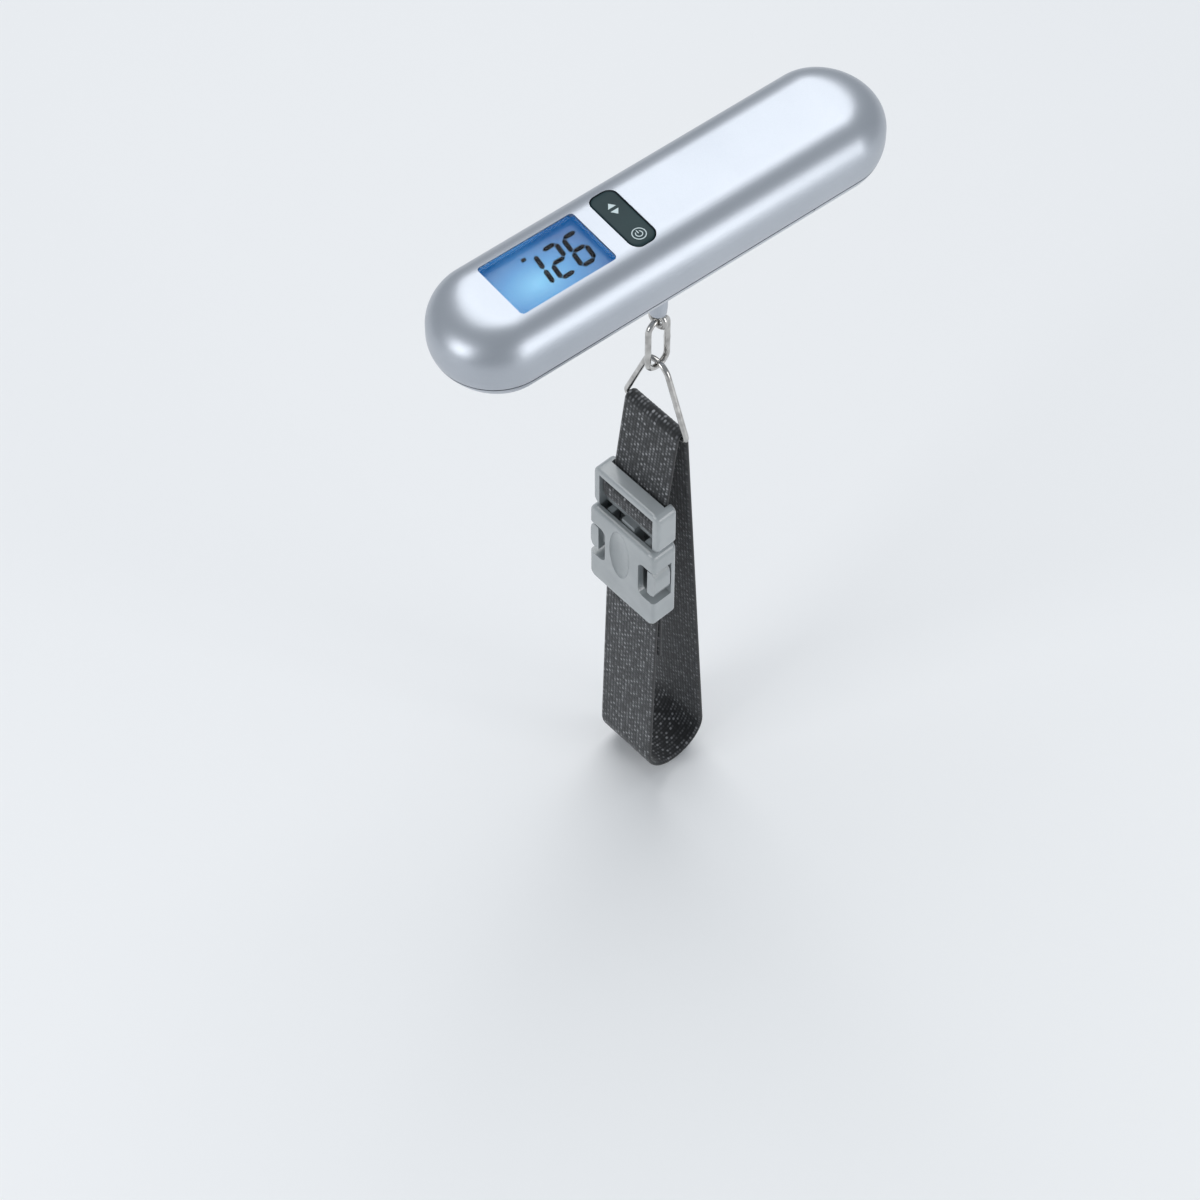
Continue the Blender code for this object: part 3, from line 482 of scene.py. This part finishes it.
def make_case():
    """Smooth upper and lower shells and the battery door."""
    top = pill("case_top", SEAM, BODY_TOP)
    boolean(top, pill("space", SEAM - 1, BODY_TOP - WALL, WALL))
    window = oblong((WINDOW_X, 0), WINDOW_SIZE, WINDOW_CORNER)
    key_hole = (KEY_SIZE[0] + 2 * KEY_GAP, KEY_SIZE[1] + 2 * KEY_GAP)
    key = oblong((KEY_X, 0), key_hole, KEY_CORNER + KEY_GAP)
    boolean(top, prism("window", window, 5, 20))
    boolean(top, prism("key", key, 5, 20))
    bevel(top, 0.22, 2)
    link(smooth(top), "case", PAINT, ("upper_case",))

    for name, body, low, high, node in (
            ("case_base", "case", -100, DOOR_X - 0.3, "lower_case"),
            ("case_door", "door", DOOR_X, 100, "battery_door")):
        shell = pill(name, BODY_BOTTOM, SEAM - SEAM_GAP)
        boolean(shell, pill("space", BODY_BOTTOM + WALL, SEAM + 1, WALL))
        boolean(shell, block("keep", (low, -30, -20), (high, 30, 5)), "INTERSECT")
        if body == "case":
            boss = turned("boss", [(9.6, -14.6), (9.4, -15.6), (8.3, -15.95), (7.2, -16.9), (6.5, -18.5),
                                   (6.1, -20.5), (6.0, -22.4), (5.8, -23.0), (5.4, -23.4),
                                   (3.7, -23.4), (3.7, -14.6)])
            boolean(shell, rod("bore", (0, 0, -26), (0, 0, -12), 4.4, 48))
            boolean(shell, boss, "UNION")
            for x, y in SCREWS[:3]:
                boolean(shell, rod("recess", (x, y, -20), (x, y, -10.6), 2.7))
            add_battery_tray(shell)
        else:
            for number in range(4):
                x = DOOR_X + 5 + 3.0 * number
                boolean(shell, prism("groove", oblong((x + 0.7, 0), (1.4, 11.0), 0.65, 6), -16, -14.9))
        bevel(shell, 0.2, 2)
        link(smooth(shell), body, PAINT, (node,))


def add_battery_tray(shell):
    """The bulkhead and the tray with its coin well, which show when the door is off."""
    bulkhead = block("bulkhead", (43.6, -25, -15), (45.6, 25, 0))
    boolean(bulkhead, pill("inside", BODY_BOTTOM + 0.8, SEAM - SEAM_GAP, 0.8), "INTERSECT")
    solids = (bulkhead, block("tray_floor", (44.0, -12.0, TRAY[0]), (75.2, 12.0, TRAY[1])),
              rod("coin_wall", (COIN_X, 0, -11.6), (COIN_X, 0, TRAY[0] + 0.4), COIN_RADIUS + 1.7, 64),
              rod("tray_pillar", (*SCREWS[3], -10.9), (*SCREWS[3], TRAY[0] + 0.4), 3.2, 32))
    cutters = (rod("coin_well", (COIN_X, 0, -15), (COIN_X, 0, TRAY[0]), COIN_RADIUS + 0.3, 64),
               block("plus_notch", (55.5, 8.0, -15), (66.5, 13.0, TRAY[0])),
               block("plus_slot", (59.0, 9.9, -8), (65.0, 11.3, 0)),
               block("minus_slot", (50.6, -2.6, -8), (52.2, 2.6, 0)),
               rod("tray_screw_hole", (*SCREWS[3], -18), (*SCREWS[3], 0), 1.3, 24),
               rod("tray_screw_recess", (*SCREWS[3], -20), (*SCREWS[3], -9.2), 2.7, 32))
    for solid in solids:
        boolean(shell, solid, "UNION")
    for cutter in cutters:
        boolean(shell, cutter)


def make_key():
    """The crowned key, whose top follows the case, with its printed marks."""
    bm = bmesh.new()
    rings = []
    for inset, drop in ((0.0, 3.6), (0.0, 0.55), (0.12, 0.22), (0.4, 0.03), (0.9, 0.0)):
        size = (KEY_SIZE[0] - 2 * inset, KEY_SIZE[1] - 2 * inset)
        ring = []
        for x, y in oblong((KEY_X, 0), size, KEY_CORNER - inset, 14):
            ring.append(bm.verts.new((x, y, key_top(y) - drop)))
        rings.append(ring)
    for lower, upper in zip(rings, rings[1:]):
        for a, b, c, d in zip(lower, lower[1:] + lower[:1], upper[1:] + upper[:1], upper):
            bm.faces.new((a, b, c, d))
    bm.faces.new(rings[0])
    quarter = len(rings[-1]) // 4
    ring = rings[-1]
    left, right = ring[quarter:3 * quarter], (ring[3 * quarter:] + ring[:quarter])[::-1]
    for a, b, c, d in zip(left, left[1:], right[1:], right):
        bm.faces.new((a, b, c, d))
    key = from_bmesh("key_cap", bm)
    link(smooth(key, 50), "key", KEY, ("rocker_key",))
    make_key_marks()


def key_top(y):
    """Height of the key's top, a little under the case's own curve."""
    inset = max(0.0, abs(y) - (BODY_WIDTH / 2 - TOP_ROUND))
    fall = 1 - math.sqrt(max(0.0, 1 - (inset / TOP_ROUND) ** 2))
    return BODY_TOP - (BODY_TOP - WAIST_TOP) * fall - 0.05


def flat_mark(name, outlines, body, material, height, thickness=0.06):
    """Thin printed shapes, each an outline of (x, y) points, at a height given by y."""
    bm = bmesh.new()
    for outline in outlines:
        low = [bm.verts.new((x, y, height(y) - thickness)) for x, y in outline]
        high = [bm.verts.new((x, y, height(y) + thickness)) for x, y in outline]
        bm.faces.new(low)
        bm.faces.new(high)
        for a, b, c, d in zip(low, low[1:] + low[:1], high[1:] + high[:1], high):
            bm.faces.new((a, b, c, d))
    return link(from_bmesh(name, bm), body, material)


def ring_pieces(centre, radius, width, start, end, steps):
    """A flat ring between two angles, as a row of four-sided pieces."""
    inner = arc(centre, radius - width / 2, start, end, steps)
    outer = arc(centre, radius + width / 2, start, end, steps)
    return [[a, b, c, d] for a, b, c, d in zip(inner, outer, outer[1:], inner[1:])]


def make_key_marks():
    """A pair of triangles at the far end, and the standby sign in a circle at the near end."""
    marks = []
    for side in (1, -1):
        x, y = KEY_X, 4.6
        marks.append([(x - 1.5, y + side * 0.6), (x + 1.5, y + side * 0.6), (x, y + side * 2.5)])
    sign = (KEY_X, -8.0)
    marks += ring_pieces(sign, 2.2, 0.3, 0, 360, 36)
    marks += ring_pieces(sign, 1.1, 0.3, 125, 415, 24)
    marks.append([(KEY_X - 0.15, sign[1] + 0.2), (KEY_X + 0.15, sign[1] + 0.2),
                  (KEY_X + 0.15, sign[1] + 1.5), (KEY_X - 0.15, sign[1] + 1.5)])
    flat_mark("key_marks", marks, "key", MARK, lambda y: key_top(y) + 0.01, 0.05)


# ---------------------------------------------------------------- display

SEGMENTS = {"1": "bc", "2": "abged", "6": "acdefg"}


def digit_outlines(figure, x, y, width, height, thick, slant):
    """The lit segments of one slanted seven-segment figure, as six-sided bars."""
    half, gap = thick / 2, 0.14
    places = {"a": ((0, 2), (1, 2)), "g": ((0, 1), (1, 1)), "d": ((0, 0), (1, 0)),
              "f": ((0, 1), (0, 2)), "b": ((1, 1), (1, 2)), "e": ((0, 0), (0, 1)),
              "c": ((1, 0), (1, 1))}
    shapes = []
    for name in SEGMENTS[figure]:
        (ax, ay), (bx, by) = [(px * width, py * height / 2) for px, py in places[name]]
        if ay == by:
            bar = [(ax + gap, ay), (ax + gap + half, ay - half), (bx - gap - half, by - half),
                   (bx - gap, by), (bx - gap - half, by + half), (ax + gap + half, ay + half)]
        else:
            bar = [(ax, ay + gap), (ax + half, ay + gap + half), (bx + half, by - gap - half),
                   (bx, by - gap), (bx - half, by - gap - half), (ax - half, ay + gap + half)]
        shapes.append([(x + px + slant * py, y + py) for px, py in bar])
    return shapes


def make_digits():
    """The reading 126, with a small bar to its left, on the face of the LCD."""
    shapes = []
    for figure, x in READING:
        shapes += digit_outlines(figure, x, FIGURE_BASE, *FIGURE_SIZE, FIGURE_THICK, FIGURE_SLANT)
    shapes.append([(-47.6, 6.8), (-46.0, 6.8), (-45.8, 8.1), (-47.4, 8.1)])
    flat_mark("lcd_figures", shapes, "case", DIGIT, lambda y: LCD_FACE, 0.05)


# ---------------------------------------------------------------- hanger

def make_wires():
    """The eye, the welded chain link and the triangular ring, as smooth round wire."""
    turn = arc((0, EYE_Z), EYE_RADIUS, 0, 360, 48)[:-1]
    eye = wire_mesh("eye_loop", [(0, y, z) for y, z in turn], EYE_WIRE, 18)
    boolean(eye, rod("shank", (0, 0, EYE_Z + EYE_RADIUS + 0.2), (0, 0, 5.3), 2.0, 32), "UNION")
    link(smooth(eye, 50), "eye", WIRE, ("swivel_eye",))

    half = LINK_HALF
    outline = arc((0, LINK_TOP - half), half, 0, 180, 26)
    outline += straight(outline[-1], (-half, LINK_BOTTOM + half), 10)
    outline += arc((0, LINK_BOTTOM + half), half, 180, 360, 26)
    outline += straight(outline[-1], (half, LINK_TOP - half), 16)
    weld = (half, (LINK_TOP + LINK_BOTTOM) / 2)
    link(wire_mesh("link_loop", [(x, 0, z) for x, z in outline], LINK_WIRE, 18,
                   lambda p: 1 + 0.10 * math.exp(-((p.x - weld[0]) ** 2 + (p.z - weld[1]) ** 2) / 0.6)),
         "link", WIRE, ("chain_link",))

    apex = (0, RING_APEX - RING_APEX_RADIUS)
    corner = (RING_HALF - RING_CORNER, RING_BAR + RING_CORNER)
    side = tangent_angle(apex, RING_APEX_RADIUS, corner, RING_CORNER)
    outline = arc(apex, RING_APEX_RADIUS, 180 - side, side, 26)
    right = arc(corner, RING_CORNER, side, -90, 16)
    left = arc((-corner[0], corner[1]), RING_CORNER, -90, -180 - side, 16)
    outline += straight(outline[-1], right[0], 14) + right + straight(right[-1], left[0], 14) + left
    outline += straight(left[-1], outline[0], 14)
    link(wire_mesh("ring_loop", [(0, y, z) for y, z in outline], RING_WIRE, 18),
         "ring", WIRE, ("strap_ring",))


def straight(start, end, steps):
    """Points between two ends, with neither end."""
    return [(start[0] + (end[0] - start[0]) * k / steps, start[1] + (end[1] - start[1]) * k / steps)
            for k in range(1, steps)]


# ---------------------------------------------------------------- webbing

def tape_path():
    """The tape's centre line in X and Z, from its loose end round to its sewn end."""
    ladder_x, ladder_top, ladder_low = LADDER
    low = ladder_low - LADDER_TURN
    path = [(TAPE_BACK, TAPE_END)]
    path += arc((TAPE_BACK - TAPE_REVERSE, low - TAPE_REVERSE), TAPE_REVERSE, 0, 90, 8)
    path += arc((ladder_x, ladder_low), LADDER_TURN, -90, -180, 12)
    path += arc((ladder_x, ladder_top), LADDER_TURN, 180, 90, 12)
    path += arc((ladder_x, ladder_top + LADDER_TURN + TAPE_REVERSE), TAPE_REVERSE, -90, 0, 8)
    bar, bar_turn = (0.0, RING_BAR), RING_WIRE + TAPE_REACH
    grip, grip_turn = GRIP[:2], GRIP[2]
    toward = Vector(bar) - Vector(path[-1])
    leave = math.degrees(math.atan2(toward.y, toward.x) + math.asin(bar_turn / toward.length)) + 90
    rear = tangent_angle(bar, bar_turn, grip, grip_turn)
    path += arc(bar, bar_turn, leave, rear, 16)
    rise = Vector(SEWN) - Vector(grip)
    front = math.degrees(math.atan2(rise.y, rise.x) + math.acos(grip_turn / rise.length))
    path += arc(grip, grip_turn, rear, front - 360, 48)
    socket, socket_turn = SOCKET_BAR[:2], SOCKET_BAR[2] + TAPE_REACH
    path += [SEWN] + arc(socket, socket_turn, 190, -10, 16)
    fold_x = SEWN[0] + TAPE + 0.3
    return path + [(fold_x, SEWN[1] - 0.5), (fold_x, SEWN[1] - SEWN_LENGTH)]


def resampled(path, spacing):
    """The path at even steps: points, sideways normals and the distance of each."""
    points = np.array(path)
    lengths = np.hypot(*np.diff(points, axis=0).T)
    keep = np.concatenate([[True], lengths > 1e-6])
    points = points[keep]
    reach = np.concatenate([[0.0], np.cumsum(np.hypot(*np.diff(points, axis=0).T))])
    at = np.linspace(0.0, reach[-1], int(round(reach[-1] / spacing)) + 1)
    line = np.stack([np.interp(at, reach, points[:, k]) for k in (0, 1)], axis=1)
    tangent = np.gradient(line, axis=0)
    for _ in range(2):
        tangent[1:-1] = (tangent[:-2] + tangent[1:-1] + tangent[2:]) / 3
    tangent /= np.linalg.norm(tangent, axis=1, keepdims=True)
    return line, np.stack([-tangent[:, 1], tangent[:, 0]], axis=1), at


def make_tape():
    """The webbing as woven geometry: ribs along it, each crossed by raised picks."""
    line, normal, at = resampled(tape_path(), PICK / PICK_SAMPLES)
    columns = RIBS * RIB_SAMPLES
    across = np.linspace(-TAPE_WIDTH / 2, TAPE_WIDTH / 2, columns + 1)
    u = (across / TAPE_WIDTH + 0.5) * RIBS
    v = at / PICK
    rib, pick = np.floor(u - 1e-6), np.floor(v)
    ridge = np.abs(np.sin(np.pi * u))[None, :]
    float_up = ((rib[None, :] + pick[:, None]) % 2) * 0.35 + 0.65
    wave = 0.35 + 0.65 * np.abs(np.sin(np.pi * v))[:, None]
    height = ridge * wave * float_up
    edge = np.clip((TAPE_WIDTH / 2 - np.abs(across)) / 0.7, 0.0, 1.0)[None, :]
    half = (TAPE / 2 - RELIEF) * np.sqrt(np.clip(0.35 + 0.65 * edge, 0, 1)) + RELIEF * height
    half = np.broadcast_to(half, (len(at), columns + 1))
    rows, cols = half.shape
    sides = []
    for side in (1, -1):
        x = line[:, None, 0] + side * half * normal[:, None, 0]
        z = line[:, None, 1] + side * half * normal[:, None, 1]
        y = np.broadcast_to(across[None, :], (rows, cols))
        sides.append(np.stack([x, y, z], axis=2).reshape(-1, 3))
    points = np.concatenate(sides) * MM
    index = np.arange(rows * cols).reshape(rows, cols)
    a, b, c, d = index[:-1, :-1], index[1:, :-1], index[1:, 1:], index[:-1, 1:]
    front = np.stack([a, b, c, d], axis=-1).reshape(-1, 4)
    back = front[:, ::-1] + rows * cols
    rim = np.concatenate([index[0, :], index[1:, -1], index[-1, -2::-1], index[-2:0:-1, 0]])
    following = np.roll(rim, -1)
    walls = np.stack([rim, following, following + rows * cols, rim + rows * cols], axis=-1)
    faces = np.concatenate([front, back, walls])
    mesh = bpy.data.meshes.new("webbing_loop")
    mesh.from_pydata(points.tolist(), [], faces.tolist())
    # Painted light for the webbing's colour: the threads' height times a random tone for each crossing,
    # which the material shows as painted shade in the valleys and a painted highlight on the raised
    # threads.
    bright = np.random.default_rng(5).uniform(0.2, 1.3, (rows // PICK_SAMPLES + 2, RIBS + 1))
    shade = height * bright[(pick % len(bright)).astype(int)][:, np.clip(rib, 0, RIBS).astype(int)]
    weave_shade_and_tone = mesh.attributes.new("weave_shade_and_tone", "FLOAT", "POINT")
    weave_shade_and_tone.data.foreach_set("value", np.tile(np.clip(shade, 0, 1).ravel(), 2).astype(np.float32))
    mesh.shade_smooth()
    mesh.update()
    item = bpy.data.objects.new("webbing_loop", mesh)
    bm = bmesh.new()
    bm.from_mesh(mesh)
    bmesh.ops.recalc_face_normals(bm, faces=bm.faces)
    bm.to_mesh(mesh)
    bm.free()
    link(item, "strap", WEAVE, ("strap_webbing",))


def make_stitches():
    """A box of thread with a cross in it, where the folded end is sewn to the loop."""
    start, end = Vector((SEWN[0] - 0.02, SEWN[1] - 2.5)), Vector((SEWN[0] - 0.2, SEWN[1] - 19.5))
    bm = bmesh.new()
    wide = STITCH_BOX

    def stitch(first, second, x_shift):
        """One short raised thread between two (y, share) places on the tape's face."""
        ends = []
        for y, share in (first, second):
            place = start.lerp(end, share)
            ends.append(Vector((place.x + x_shift, y, place.y)))
        length = (ends[1] - ends[0]).length
        made = bmesh.ops.create_icosphere(bm, subdivisions=1, radius=1.0)["verts"]
        turn = (ends[1] - ends[0]).to_track_quat("Z", "Y").to_matrix().to_4x4()
        size = Matrix.Diagonal((THREAD_RADIUS, THREAD_RADIUS, length * 0.56, 1.0))
        bmesh.ops.transform(bm, matrix=Matrix.Translation((ends[0] + ends[1]) / 2) @ turn @ size,
                            verts=made)

    runs = [((-wide, 0), (wide, 0)), ((wide, 0), (wide, 1)), ((wide, 1), (-wide, 1)),
            ((-wide, 1), (-wide, 0)), ((-wide, 0), (wide, 1)), ((wide, 0), (-wide, 1))]
    height = (end - start).length
    for (ya, sa), (yb, sb) in runs:
        count = round(math.hypot(yb - ya, (sb - sa) * height) / STITCH)
        for k in range(count):
            t0, t1 = (k + 0.12) / count, (k + 0.88) / count
            stitch((ya + (yb - ya) * t0, sa + (sb - sa) * t0),
                   (ya + (yb - ya) * t1, sa + (sb - sa) * t1), -TAPE / 2 - 0.05)
    item = from_bmesh("loop_stitching", bm)
    item.data.shade_smooth()
    link(item, "strap", THREAD)


# ---------------------------------------------------------------- stage

def make_stage():
    """Pale floor, soft overhead and side light, and the camera at the photograph's angle."""
    bpy.ops.mesh.primitive_plane_add(size=8.0, location=(0, 0, FLOOR_Z))
    floor = bpy.context.object
    floor.name = "floor"
    floor.data.materials.append(speckled("pale_floor", (0.86, 0.865, 0.875), (0.88, 0.885, 0.89),
                                         40, 0.7))
    world = bpy.data.worlds.new("studio")
    bpy.context.scene.world = world
    world.use_nodes = True
    world.node_tree.nodes["Background"].inputs["Color"].default_value = (0.86, 0.93, 1.0, 1.0)
    world.node_tree.nodes["Background"].inputs["Strength"].default_value = 0.42
    soft_light("overhead", (0.43, 0.64, 1.40), (0.0, 0.0, 0.0), 1.5, 17.5)
    soft_light("front_left", (-1.2, 0.05, 0.3), (0.0, 0.0, -0.08), 0.6, 4.6)
    soft_light("front_right", (0.35, -1.15, 0.12), (0.0, 0.0, -0.08), 0.7, 5.0)

    data = bpy.data.cameras.new("camera")
    data.lens, data.sensor_width = CAMERA_LENS, 36.0
    camera = bpy.data.objects.new("camera", data)
    bpy.context.scene.collection.objects.link(camera)
    azimuth, elevation = (math.radians(a) for a in CAMERA_ANGLES)
    right = Vector((math.cos(azimuth), math.sin(azimuth), 0.0))
    back = Vector((math.sin(azimuth) * math.cos(elevation), -math.cos(azimuth) * math.cos(elevation),
                   math.sin(elevation)))
    up = back.cross(right)
    target = CAMERA_OFFSET[0] * right + CAMERA_OFFSET[1] * up
    camera.matrix_world = Matrix.Translation(target + CAMERA_DISTANCE * back) @ Matrix(
        (right, up, back)).transposed().to_4x4()
    bpy.context.scene.camera = camera
    bpy.context.scene.view_settings.view_transform = "Standard"


def soft_light(name, place, aim, size, power):
    """A square area light that faces a point."""
    data = bpy.data.lights.new(name, "AREA")
    data.size, data.energy = size, power
    light = bpy.data.objects.new(name, data)
    light.location = place
    light.rotation_euler = (Vector(place) - Vector(aim)).to_track_quat("Z", "Y").to_euler()
    bpy.context.scene.collection.objects.link(light)


def dress_cad():
    """Give every CAD node the look of its material slot."""
    for part in frame["record"]["subparts"]:
        node = NODES[part["node"]]
        node.data.materials.clear()
        node.data.materials.append(CAD_LOOKS[part["material_slot"]])


dress_cad()
make_case()
make_key()
make_digits()
make_wires()
make_tape()
make_stitches()
make_stage()
